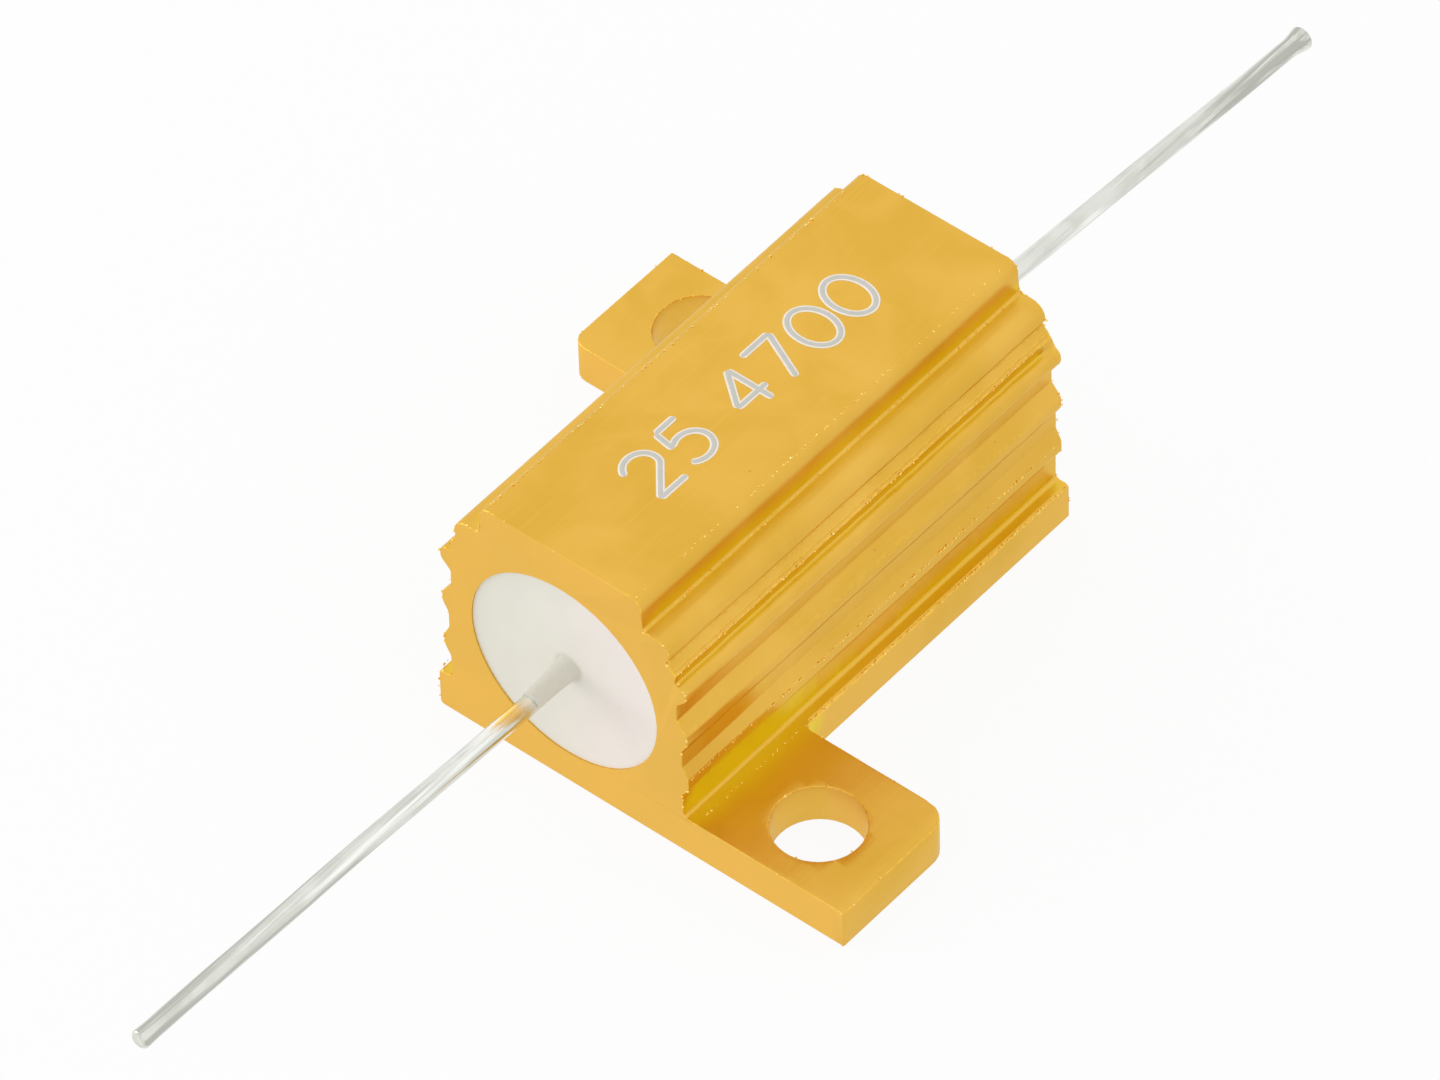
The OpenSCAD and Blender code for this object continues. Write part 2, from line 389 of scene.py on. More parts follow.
def gold_anodised():
    material, kit, shader = new_material("gold_anodised")
    cloud = effect(kit, "cloud", Scale=420.0, Contrast=0.22)["Value"]
    lines = effect(kit, "drawn_lines", Across=11000.0, Along=240.0)
    broad = effect(kit, "drawn_lines", Across=2600.0, Along=90.0)
    grain = effect(kit, "grain", Scale=16000.0)["Height"]
    specks = effect(kit, "specks", Scale=2300.0, Size=0.1, Share=0.05)["Mask"]
    marks = effect(kit, "saw_marks", Along=260.0, Up=7000.0)["Height"]
    sawn = kit.ramp(facing(kit, "Y"), 0.8, 0.97)
    wear_and_glint_chips = effect(kit, "cloud", Scale=7000.0, Contrast=0.1)["Value"]
    # painted shade: the hidden share of sky marks grooves, upright walls and ledges by the flanks, whose
    # tones below stand in for their shade and inner reflections
    painted_shade = mesh_mask(kit, "painted_shade")
    painted_groove_shade = kit.ramp(painted_shade, 0.12, 0.52)
    wall = kit.times(kit.ramp(painted_shade, 0.12, 0.36), kit.ramp(facing(kit, "X"), 0.85, 0.97))
    painted_ledge_shade = kit.times(painted_groove_shade, kit.ramp(facing(kit, "Z"), 0.9, 0.99))
    wear_and_painted_glint = kit.times(mesh_mask(kit, "wear_and_painted_glint"), kit.ramp(wear_and_glint_chips, 0.5, 0.75, 0.2, 1.0))

    tone = kit.mix(cloud, shade(225, 177, 68), shade(236, 188, 84))
    # painted shade and reflection: grooves, then upright walls, then ledges
    tone = kit.mix(painted_groove_shade, tone, shade(231, 186, 60))
    tone = kit.mix(wall, tone, shade(238, 220, 66))
    tone = kit.mix(painted_ledge_shade, tone, shade(238, 205, 66))
    tone = kit.mix(kit.times(lines["Mask"], 0.25), tone, shade(238, 193, 90))
    tone = kit.mix(kit.times(specks, 0.5), tone, shade(160, 104, 14))
    # sawn ends lighter: partly their own finish, partly painted light on the ends
    tone = kit.mix(kit.times(sawn, 0.6), tone, shade(248, 200, 100))
    # rims: wear with a painted glint, broken into chips
    tone = kit.mix(kit.times(wear_and_painted_glint, 0.8), tone, shade(255, 205, 84))
    rough = kit.plus(kit.ramp(cloud, 0.0, 1.0, 0.3, 0.37), kit.times(sawn, 0.16))
    coat(kit, shader, tone, rough, metallic=1.0)
    shader.inputs["Specular Tint"].default_value = (1.0, 0.95, 0.72, 1.0)

    along = kit.times(kit.minus(1.0, sawn), lines["Height"])
    height = kit.plus(along, kit.times(broad["Height"], 1.2))
    height = kit.plus(height, kit.times(grain, 0.4))
    height = kit.plus(height, kit.times(kit.times(sawn, marks), 1.6))
    height = kit.minus(height, kit.times(specks, 1.5))
    height = kit.plus(height, kit.times(wear_and_painted_glint, 1.5))
    bump(kit, shader, height, 0.003 * MM)
    return material


def bright_gold():
    """Burrs and nicks that the tool has left; their pale tone is partly bright metal and partly a painted
    highlight.
    """
    material, kit, shader = new_material("bright_gold")
    grain = effect(kit, "grain", Scale=20000.0)["Height"]
    cloud = effect(kit, "cloud", Scale=1500.0, Contrast=0.3)["Value"]
    # pale tone: partly bright metal, partly a painted highlight
    tone = kit.mix(cloud, shade(252, 208, 100), shade(255, 230, 146))
    coat(kit, shader, tone, kit.ramp(cloud, 0.0, 1.0, 0.16, 0.26), metallic=1.0)
    bump(kit, shader, grain, 0.002 * MM)
    return material


def white_filling():
    material, kit, shader = new_material("white_filling")
    cloud = effect(kit, "cloud", Scale=520.0, Contrast=0.3)["Value"]
    grain = effect(kit, "grain", Scale=9000.0)["Height"]
    specks = effect(kit, "specks", Scale=2600.0, Size=0.14, Share=0.12)["Mask"]
    where = kit.add("ShaderNodeSeparateXYZ", {"Vector": kit.add("ShaderNodeTexCoord").outputs["Object"]})
    x = where.outputs["X"]
    z = kit.minus(where.outputs["Z"], BORE_Z)
    square = kit.plus(kit.times(x, x), kit.times(z, z))
    from_lead = kit.math("SQRT", square)
    cool_side, warm_side = -1.6 * MM, 2.4 * MM
    slope = kit.ramp(x, cool_side, warm_side, -0.2, 0.8)
    warm = kit.plus(slope, kit.times(cloud, 0.4))
    tone = kit.mix(kit.ramp(warm, 0.0, 1.0), shade(238, 236, 224), shade(247, 239, 232))
    # darker collar round the lead: partly a thin film of filling on the wire, partly painted shade at the
    # lead's root
    collar = kit.ramp(from_lead, 0.5 * MM, 0.3 * MM)
    tone = kit.mix(collar, tone, shade(222, 220, 208))
    tone = kit.mix(kit.times(specks, 0.35), tone, shade(196, 192, 180))
    coat(kit, shader, tone, kit.ramp(cloud, 0.0, 1.0, 0.5, 0.62), metallic=0.0)
    height = kit.minus(grain, kit.times(specks, 1.2))
    bump(kit, shader, height, 0.006 * MM)
    return material


def tinned_wire():
    material, kit, shader = new_material("tinned_wire")
    cloud = effect(kit, "cloud", Scale=700.0, Contrast=0.2)["Value"]
    drawn_bands_and_painted_reflections = effect(kit, "drawn_lines", Across=3400.0, Along=70.0)
    lines = effect(kit, "drawn_lines", Across=9000.0, Along=300.0)
    cut = kit.ramp(facing(kit, "Y"), 0.8, 0.97)
    specks = effect(kit, "specks", Scale=1500.0, Size=0.17, Share=0.05)["Mask"]
    specks = kit.times(specks, kit.minus(1.0, cut))
    tone = kit.mix(cloud, shade(210, 211, 203), shade(230, 231, 224))
    # lengthwise streaks, darker and lighter: drawn-wire bands and painted reflections
    tone = kit.mix(kit.ramp(drawn_bands_and_painted_reflections["Height"], 0.02, 0.14), tone, shade(184, 185, 176))
    tone = kit.mix(kit.ramp(drawn_bands_and_painted_reflections["Height"], -0.04, -0.16), tone, shade(252, 252, 247))
    tone = kit.mix(kit.times(lines["Mask"], 0.35), tone, shade(190, 190, 180))
    tone = kit.mix(kit.times(specks, 0.8), tone, shade(96, 94, 88))
    tone = kit.mix(kit.times(cut, 0.6), tone, shade(226, 224, 216))
    rough = kit.plus(kit.ramp(cloud, 0.0, 1.0, 0.1, 0.2), kit.times(cut, 0.25))
    coat(kit, shader, tone, rough, metallic=1.0)
    height = kit.plus(lines["Height"], kit.times(drawn_bands_and_painted_reflections["Height"], 2.0))
    height = kit.minus(height, kit.times(specks, 0.8))
    bump(kit, shader, height, 0.005 * MM)
    return material


def marking(name, light, dark):
    material, kit, shader = new_material(name)
    grain = effect(kit, "grain", Scale=12000.0)["Height"]
    cloud = effect(kit, "cloud", Scale=2600.0, Contrast=0.2)["Value"]
    specks = effect(kit, "specks", Scale=7000.0, Size=0.3, Share=0.3)["Mask"]
    tone = kit.mix(cloud, light, dark)
    tone = kit.mix(kit.times(specks, 0.25), tone, shade(196, 188, 166))
    coat(kit, shader, tone, 0.55, metallic=0.25)
    bump(kit, shader, grain, 0.003 * MM)
    return material


def inner_metal(name, dark, light, lines_across):
    """Bare metal of the parts inside the filling."""
    material, kit, shader = new_material(name)
    cloud = effect(kit, "cloud", Scale=800.0, Contrast=0.25)["Value"]
    lines = effect(kit, "drawn_lines", Across=lines_across, Along=500.0)
    rough = kit.ramp(lines["Mask"], 0.0, 1.0, 0.3, 0.42)
    coat(kit, shader, kit.mix(cloud, dark, light), rough, metallic=1.0)
    bump(kit, shader, lines["Height"], 0.003 * MM)
    return material


def ceramic():
    material, kit, shader = new_material("ceramic")
    cloud = effect(kit, "cloud", Scale=600.0, Contrast=0.3)["Value"]
    grain = effect(kit, "grain", Scale=12000.0)["Height"]
    coat(kit, shader, kit.mix(cloud, shade(236, 233, 222), shade(243, 241, 234)), 0.6, metallic=0.0)
    bump(kit, shader, grain, 0.005 * MM)
    return material


MATERIALS = {
    "gold_anodised": gold_anodised(),
    "bright_gold": bright_gold(),
    "white_filling": white_filling(),
    "tinned_wire": tinned_wire(),
    "marking_silver": marking("marking_silver", shade(212, 208, 204), shade(204, 206, 196)),
    "marking_edge": marking("marking_edge", shade(255, 246, 232), shade(248, 238, 220)),
    "ceramic": ceramic(),
    "resistance_wire": inner_metal("resistance_wire", shade(128, 120, 110), shade(160, 150, 138), 14000.0),
    "cap_steel": inner_metal("cap_steel", shade(180, 180, 176), shade(206, 206, 200), 8000.0),
}


def clothe(mesh, material):
    mesh.materials.clear()
    mesh.materials.append(MATERIALS[material])


# ---------------------------------------------------------------- mesh helpers


def merged_copy(node):
    """The CAD node's mesh with its loose triangles joined and flat regions made whole."""
    bm = bmesh.new()
    bm.from_mesh(frame["nodes"][node].data)
    bmesh.ops.remove_doubles(bm, verts=bm.verts, dist=1e-4 * MM)
    bmesh.ops.dissolve_limit(
        bm, angle_limit=radians(0.3), verts=bm.verts, edges=bm.edges, use_dissolve_boundaries=False
    )
    return bm


def cut_at(bm, axis, level, parts=None):
    """Cuts the whole mesh, or the given parts of it, at a level along an axis."""
    normal = Vector((0, 0, 0))
    normal[axis] = 1
    if parts is None:
        parts = bm.verts[:] + bm.edges[:] + bm.faces[:]
    bmesh.ops.bisect_plane(bm, geom=parts, dist=1e-5 * MM, plane_co=normal * level, plane_no=normal)


def wall_normal(vert, axis):
    """Mean normal of the faces at vert that run along the axis, or None where there is none."""
    total = Vector((0, 0, 0))
    for face in vert.link_faces:
        if abs(face.normal[axis]) < 0.3:
            total += face.normal
    total[axis] = 0
    return total.normalized() if total.length > 1e-6 else None


def round_rim(bm, axis, level, towards, keep):
    """Rounds the edges of a flat face at level, whose outward direction along the axis is towards."""
    angles = [pi / 2 * i / RIM_STEPS for i in range(RIM_STEPS + 1)]
    depths = [RIM_R * (1 - cos(angle)) for angle in angles]
    insets = [RIM_R * (1 - sin(angle)) for angle in angles]
    for depth in depths[1:]:
        cut_at(bm, axis, level - towards * depth)
    bm.normal_update()
    moves = []
    for vert in bm.verts:
        below = (level - vert.co[axis]) * towards
        for depth, inset in zip(depths, insets):
            if abs(below - depth) < 1e-3 * MM and inset > 0:
                out = wall_normal(vert, axis)
                if out is not None and keep(vert.co):
                    moves.append((vert, out * inset))
    for vert, move in moves:
        vert.co -= move


def link_piece(name, mesh, material):
    clothe(mesh, material)
    piece = bpy.data.objects.new(name, mesh)
    scene.collection.objects.link(piece)
    return piece


def finish_piece(bm, name, material, sharp):
    """Turns bm into a linked object at the origin, smooth but for edges sharper than the angle."""
    for face in bm.faces:
        face.smooth = True
    for edge in bm.edges:
        edge.smooth = len(edge.link_faces) == 2 and edge.calc_face_angle(0) < radians(sharp)
    mesh = bpy.data.meshes.new(name)
    bm.to_mesh(mesh)
    bm.free()
    return link_piece(name, mesh, material)


def wander(where, stretch, seed):
    """Smooth random vector of about unit size, slow along Y."""
    return noise.noise_vector(
        Vector((where.x / stretch.x, where.y / stretch.y, where.z / stretch.z)) + Vector((seed, seed, seed))
    )


# ---------------------------------------------------------------- masks kept in the mesh

SKY_RAYS = 20
SKY_REACH = 3.5 * MM
SKY_LIFT = 0.006 * MM         # how far a ray starts above the surface
SMALL_FACE = 0.007 * MM * MM  # wear with a painted highlight shows on faces smaller than this, which are the rims
GOLDEN_TURN = pi * (3 - 5 ** 0.5)


def sky_directions():
    """Directions about +Z, closer together near it as light from an even sky counts."""
    directions = []
    for i in range(SKY_RAYS):
        share = (i + 0.5) / SKY_RAYS
        turn = i * GOLDEN_TURN
        directions.append(Vector((share ** 0.5 * cos(turn), share ** 0.5 * sin(turn), (1 - share) ** 0.5)))
    return directions


def hidden_sky(tree, place, normal, directions):
    """Share of the sky over a point that the piece itself hides."""
    turn = Vector((0, 0, 1)).rotation_difference(normal)
    start = place + normal * SKY_LIFT
    hits = sum(tree.ray_cast(start, turn @ way, SKY_REACH)[0] is not None for way in directions)
    return hits / len(directions)


def bend_at(vert):
    """How sharply the surface bulges at vert, in radians per millimetre."""
    most = 0.0
    for edge in vert.link_edges:
        if len(edge.link_faces) == 2:
            angle = edge.calc_face_angle_signed(0)
            a, b = (face.calc_center_median() for face in edge.link_faces)
            most = max(most, angle / max((a - b).length / MM, 0.01))
    return most


def hole_wall(face):
    """Whether a face stands upright in a screw hole."""
    middle = face.calc_center_median()
    side = 1 if middle.x > 0 else -1
    axis = Vector((side * HOLE_X, HOLE_Y - side * HOLE_FROM_MIDDLE, middle.z))
    upright = abs(face.normal.z) < 0.3
    return upright and (middle - axis).length < HOLE_R + 0.05 * MM


def mark_painted_shade_wear_and_glint(bm):
    """Two corner masks: painted shade, from the share of sky that the piece hides, for grooves and under
    ledges, and wear with a painted glint, on the rims.
    """
    bm.normal_update()
    tree = BVHTree.FromBMesh(bm)
    directions = sky_directions()
    painted_shade = bm.loops.layers.float.new("painted_shade")
    wear_and_painted_glint = bm.loops.layers.float.new("wear_and_painted_glint")
    bends = {vert: smooth_step(bend_at(vert), 1.2, 9) for vert in bm.verts}
    known = {}
    for face in bm.faces:
        small = face.calc_area() < SMALL_FACE
        in_hole = on_tab(face.calc_center_median()) and hole_wall(face)
        for loop in face.loops:
            vert = loop.vert
            smooth = vert.normal.angle(face.normal, 0) < radians(40)
            normal = vert.normal if smooth else face.normal
            key = (vert, tuple(round(value, 2) for value in normal))
            if key not in known:
                known[key] = hidden_sky(tree, vert.co, normal, directions)
            # painted shade, kept weaker on the walls of the screw holes
            loop[painted_shade] = known[key] * (0.3 if in_hole else 1.0)
            loop[wear_and_painted_glint] = bends[vert] if small else 0.0


# ---------------------------------------------------------------- grown pieces


def make_wire():
    """Round wire along a path whose points carry their own share of the radius."""
    inputs = {
        "Path": "NodeSocketGeometry",
        "Radius": 0.24 * MM,
        "Sides": WIRE_SIDES,
        "Dent height": 0.006 * MM,
        "Dent scale": 900.0,
        "Finish": "NodeSocketMaterial",
    }
    kit, source, sink = new_group("wire", inputs, ["Wire"], "Geometry")
    path = kit.add("GeometryNodeMeshToCurve", {"Mesh": source["Path"]}).outputs["Curve"]
    ring = kit.add(
        "GeometryNodeCurvePrimitiveCircle", {"Resolution": source["Sides"], "Radius": source["Radius"]}
    ).outputs["Curve"]
    tube = kit.add(
        "GeometryNodeCurveToMesh",
        {"Curve": path, "Profile Curve": ring, "Scale": kit.stored("share"), "Fill Caps": True},
    ).outputs["Mesh"]
    where = kit.add("GeometryNodeInputPosition").outputs["Position"]
    across = (3.0, 1.0, 3.0)
    stretched = kit.add("ShaderNodeVectorMath", {0: where, 1: across}, operation="MULTIPLY").outputs[0]
    dents = kit.minus(kit.noise(stretched, source["Dent scale"], detail=1.0), 0.5)
    out = kit.add("GeometryNodeInputNormal").outputs["Normal"]
    offset = kit.scaled(out, kit.times(dents, source["Dent height"]))
    dented = kit.add("GeometryNodeSetPosition", {"Geometry": tube, "Offset": offset}).outputs["Geometry"]
    kit.feed(sink["Wire"], kit.dress(dented, source["Finish"]))
    return kit.tree


def make_burrs():
    """Scattered crumbs of metal along the edges that a tool has left."""
    inputs = {
        "Edges": "NodeSocketGeometry",
        "Spacing": 0.1 * MM,
        "Share": 0.3,
        "Size": 0.02 * MM,
        "Scatter": 0.02 * MM,
        "Seed": 1,
        "Finish": "NodeSocketMaterial",
    }
    kit, source, sink = new_group("burrs", inputs, ["Burrs"], "Geometry")
    path = kit.add("GeometryNodeMeshToCurve", {"Mesh": source["Edges"]}).outputs["Curve"]
    places = kit.add(
        "GeometryNodeCurveToPoints", {"Curve": path, "Length": source["Spacing"]}, mode="LENGTH"
    ).outputs["Points"]

    chance = kit.random("FLOAT", 0.0, 1.0, source["Seed"])
    bare = kit.math("GREATER_THAN", chance, source["Share"])
    kept = kit.add(
        "GeometryNodeDeleteGeometry", {"Geometry": places, "Selection": bare}, domain="POINT"
    ).outputs["Geometry"]

    jump = kit.random("FLOAT_VECTOR", (-1, -1, -1), (1, 1, 1), kit.plus(source["Seed"], 1))
    offset = kit.scaled(jump, source["Scatter"])
    moved = kit.add("GeometryNodeSetPosition", {"Geometry": kept, "Offset": offset}).outputs["Geometry"]

    size = kit.random("FLOAT_VECTOR", (0.5, 0.5, 0.4), (1.6, 1.2, 0.9), kit.plus(source["Seed"], 2))
    size = kit.scaled(size, source["Size"])
    turn = kit.random("FLOAT_VECTOR", (0, 0, 0), (tau, tau, tau), kit.plus(source["Seed"], 3))
    crumb = kit.add("GeometryNodeMeshIcoSphere", {"Radius": 1.0, "Subdivisions": 1}).outputs["Mesh"]
    crumbs = kit.add(
        "GeometryNodeInstanceOnPoints",
        {"Points": moved, "Instance": crumb, "Rotation": turn, "Scale": size},
    ).outputs["Instances"]
    kit.feed(sink["Burrs"], kit.dress(crumbs, source["Finish"], smooth=False))
    return kit.tree


def grown_mesh(tree, source_mesh, values):
    """Plain mesh that the tree makes from source_mesh with the given inputs."""
    holder = bpy.data.objects.new(tree.name + "_source", source_mesh)
    scene.collection.objects.link(holder)
    modifier = holder.modifiers.new("grow", "NODES")
    modifier.node_group = tree
    sockets = {item.name: item.identifier for item in tree.interface.items_tree if item.in_out == "INPUT"}
    for label, value in values.items():
        modifier[sockets[label]] = value
    ready = holder.evaluated_get(bpy.context.evaluated_depsgraph_get())
    mesh = bpy.data.meshes.new_from_object(ready)
    holder.modifiers.clear()
    bpy.data.objects.remove(holder)
    return mesh


def edge_mesh(name, lines):
    """Mesh of bare edges through the points of each line."""
    points = [point for line in lines for point in line]
    edges = []
    first = 0
    for line in lines:
        edges += [(first + i, first + i + 1) for i in range(len(line) - 1)]
        first += len(line)
    mesh = bpy.data.meshes.new(name)
    mesh.from_pydata(points, edges, [])
    return mesh


def make_ink():
    """Flat rounded strokes of print along lines that lie on a plate."""
    inputs = {
        "Lines": "NodeSocketGeometry",
        "Width": 0.1 * MM,
        "Height": 0.01 * MM,
        "Finish": "NodeSocketMaterial",
    }
    kit, source, sink = new_group("ink", inputs, ["Ink"], "Geometry")
    path = kit.add("GeometryNodeMeshToCurve", {"Mesh": source["Lines"]}).outputs["Curve"]
    level = kit.add("GeometryNodeSetCurveNormal", {"Curve": path}, mode="Z_UP").outputs["Curve"]
    ring = kit.add("GeometryNodeCurvePrimitiveCircle", {"Resolution": 12, "Radius": 1.0}).outputs["Curve"]
    flat = kit.add("ShaderNodeCombineXYZ", {"X": source["Width"], "Y": source["Height"], "Z": 1.0})
    section = kit.add(
        "GeometryNodeTransform", {"Geometry": ring, "Scale": flat.outputs["Vector"]}
    ).outputs["Geometry"]
    strokes = kit.add(
        "GeometryNodeCurveToMesh",
        {"Curve": level, "Profile Curve": section, "Scale": kit.stored("share"), "Fill Caps": True},
    ).outputs["Mesh"]
    kit.feed(sink["Ink"], kit.dress(strokes, source["Finish"]))
    return kit.tree


WIRE = make_wire()
INK = make_ink()
BURRS = make_burrs()

# ---------------------------------------------------------------- pieces


def on_tab(where):
    return abs(where.x) > TAB_ROOT_X


def off_bore(where):
    from_axis = Vector((where.x, 0, where.z - BORE_Z)).length
    return from_axis > FILL_R + 0.1 * MM


def at_sawn_end(where):
    return abs(abs(where.y) - HALF_L) < NEAR


def tool_edges(bm):
    """Sharp outer edges that the saw and the punch have left, as pairs of points."""
    found = []
    for edge in bm.edges:
        if len(edge.link_faces) != 2 or edge.calc_face_angle_signed(0) < radians(50):
            continue
        a, b = (vert.co.copy() for vert in edge.verts)
        sawn = at_sawn_end(a) and at_sawn_end(b)
        punched = on_tab(a) and on_tab(b) and min(a.z, b.z) > BASE_T - NEAR
        off_floor = max(a.z, b.z) > 0.5 * MM
        if (sawn or punched) and off_bore(a) and off_bore(b) and off_floor:
            found.append((a, b))
    return found


def ridges():
    """Points along the ridges that the die has left rough, on both sides."""
    steps = round(2 * HALF_L / WAVE_STEP)
    reach = HALF_L - RIM_R
    levels = [-reach + 2 * reach * i / steps for i in range(steps + 1)]
    return [
        [waved(Vector((side * x * MM, y, z * MM))) for y in levels]
        for x, z in RIDGES
        for side in (-1, 1)
    ]


def scatter_burrs(name, lines, values):
    paths = edge_mesh(name + "_lines", lines)
    mesh = grown_mesh(BURRS, paths, {**values, "Finish": MATERIALS["bright_gold"]})
    piece = link_piece(name, mesh, "bright_gold")
    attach(piece, "root")


def corner_reach(a, b, corner, radius):
    """Distance to a rounded corner along a, b, from a point that lies corner inside both sides."""
    length = (a * a + b * b) ** 0.5
    wide, narrow = max(a, b) / length, min(a, b) / length
    reach = corner / wide
    middle = corner - radius
    if reach * narrow > middle:
        along = middle * (wide + narrow)
        reach = along + (along ** 2 - 2 * middle ** 2 + radius ** 2) ** 0.5
    return reach


def softer_corner(where):
    """Draws the front tab's corner that points to the middle of the housing in to a rounder shape."""
    centre = Vector((TAB_END_X - CORNER_R, FRONT_TAB_L - HALF_L - CORNER_R, where.z))
    away = where - centre
    if min(away.x, away.y) < 0 or away.length < 0.1 * MM or where.z > BASE_T + NEAR:
        return where
    return centre + away * (CORNER_R / corner_reach(away.x, away.y, CORNER_R, TAB_R))


def crisper_plate(where):
    """Draws the top plate's long edges out to a tighter radius than the CAD part's."""
    side = 1 if where.x > 0 else -1
    across = side * where.x - PLATE_W / 2 + PLATE_R
    up = where.z - TOP_Z + PLATE_R
    if min(across, up) < 1e-4 * MM:
        return where
    growth = corner_reach(across, up, PLATE_R, PLATE_EDGE_R) / PLATE_R - 1
    return where + Vector((side * across, 0, up)) * growth


def waved(where):
    """Where a point of the extrusion lies once the die's waviness is added."""
    above_foot = smooth_step(where.z, 0.02 * MM, 0.4 * MM)
    near_end = smooth_step(abs(where.y), HALF_L - 0.3 * MM, HALF_L)
    share = above_foot * (1 - 0.6 * near_end)
    slow = wander(where, Vector((0.5, 2.6, 0.5)) * MM, 3.0)
    fast = wander(where, Vector((0.25, 0.8, 0.25)) * MM, 11.0)
    move = (slow + fast * 0.5) * WAVE_HEIGHT * share

    near_lip = 1 - smooth_step(abs(where.z - LIP_Z), 0.15 * MM, 0.4 * MM)
    outside = smooth_step(abs(where.x), STEP_X, STEP_X + 0.2 * MM)
    nick = wander(where, Vector((4.0, 0.5, 4.0)) * MM, 17.0)
    move.z += nick.z * LIP_WAVE * near_lip * outside * (1 - 0.6 * near_end)
    move.y = 0
    return where + move


def step_faces(bm):
    """Faces of both flanks that the step above the upper ribs lies on."""
    found = []
    for face in bm.faces:
        middle = face.calc_center_median()
        if abs(middle.x) > STEP_X and STEP_LOW < middle.z < STEP_HIGH:
            found.append(face)
    return found


def cut_step(bm):
    """Adds the long lines that the step is shaped with."""
    for height, _, _ in OPEN_STEP:
        faces = step_faces(bm)
        parts = dict.fromkeys(faces)
        for face in faces:
            parts.update(dict.fromkeys([*face.edges, *face.verts]))
        cut_at(bm, 2, height * MM, list(parts))


def move_at(moves, height):
    """Move out and up that a table gives at a height, in mm, and none outside it."""
    for (upper, *first), (lower, *second) in zip(moves, moves[1:]):
        if lower <= height <= upper:
            share = (upper - height) / (upper - lower)
            return Vector(first).lerp(Vector(second), share)
    return Vector((0, 0))


def stepped(where):
    """Makes the groove under the round shoulder shallower and cuts the step below it."""
    if abs(where.x) < STEP_X:
        return where
    height = where.z / MM
    first, last = CLOSING
    closed = smooth_step(where.y, HALF_L - first, HALF_L - last)
    move = move_at(OPEN_STEP, height).lerp(move_at(CLOSED_STEP, height), closed) * MM
    side = 1 if where.x > 0 else -1
    return where + Vector((side * move.x, 0, move.y))


def shaped(where):
    """Where a point of the CAD housing lies in the finished one."""
    return waved(stepped(crisper_plate(softer_corner(where))))


def cut_cross_sections(bm):
    """Adds the cross sections that the waviness and the masks are carried by."""
    steps = round(2 * HALF_L / WAVE_STEP)
    for i in range(1, steps):
        cut_at(bm, 1, -HALF_L + 2 * HALF_L * i / steps)
    tab_steps = round((TAB_END_X - TAB_ROOT_X) / TAB_STEP)
    for i in range(tab_steps):
        for side in (-1, 1):
            cut_at(bm, 0, side * (TAB_ROOT_X + TAB_STEP * i))


def dressed_housing():
    bm = merged_copy("housing")
    lines = tool_edges(bm)
    cut_step(bm)
    round_rim(bm, 1, HALF_L, 1, off_bore)
    round_rim(bm, 1, -HALF_L, -1, off_bore)
    round_rim(bm, 2, BASE_T, 1, on_tab)
    round_rim(bm, 2, 0, -1, on_tab)
    cut_cross_sections(bm)
    for vert in bm.verts:
        vert.co = shaped(vert.co)
    mark_painted_shade_wear_and_glint(bm)
    piece = finish_piece(bm, "housing_finished", "gold_anodised", sharp=40.0)
    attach(piece, "root")
    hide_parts("housing")

    lines = [[shaped(end) for end in line] for line in lines]
    scatter_burrs("tool_burrs", lines, {
        "Spacing": 0.11 * MM, "Share": 0.11, "Size": 0.032 * MM, "Scatter": 0.014 * MM, "Seed": 7,
    })
    scatter_burrs("ridge_burrs", ridges(), {
        "Spacing": 0.06 * MM, "Share": 0.5, "Size": 0.03 * MM, "Scatter": 0.022 * MM, "Seed": 21,
    })


def filling_face(radius):
    """How far behind the housing's end the filling's face lies at a distance from its axis."""
    dish = FILL_DEPTH - (FILL_DEPTH - FILL_RIM_DEPTH) * (radius / FILL_R) ** 6
    climb = (1 - min(1.0, max(0.0, radius - LEAD_R) / COLLAR_W)) ** 1.7
    return dish - COLLAR_H * climb


def lumps_at(where):
    """How far the cast face stands proud of its plain shape."""
    slow = wander(where, Vector((0.9, 0.9, 0.9)) * MM, 5.0).y * LUMP_HEIGHT
    fast = wander(where, Vector((0.3, 0.3, 0.3)) * MM, 7.0).y * FINE_LUMP_HEIGHT
    return slow + fast


def filling_ring(bm, radius, way):
    """One ring of points of the face that looks along Y in the way -1 or 1."""
    rim_r = FILL_R + FILL_GAP
    off_lead = smooth_step(radius, LEAD_R, LEAD_R + 0.5 * MM)
    off_wall = 1 - smooth_step(radius, rim_r * 0.9, rim_r)
    y = way * (HALF_L - filling_face(radius))
    verts = []
    for k in range(FILL_SIDES):
        angle = tau * k / FILL_SIDES
        where = Vector((radius * cos(angle), y, BORE_Z + radius * sin(angle)))
        where.y += lumps_at(where) * off_lead * off_wall
        verts.append(bm.verts.new(where))
    return verts


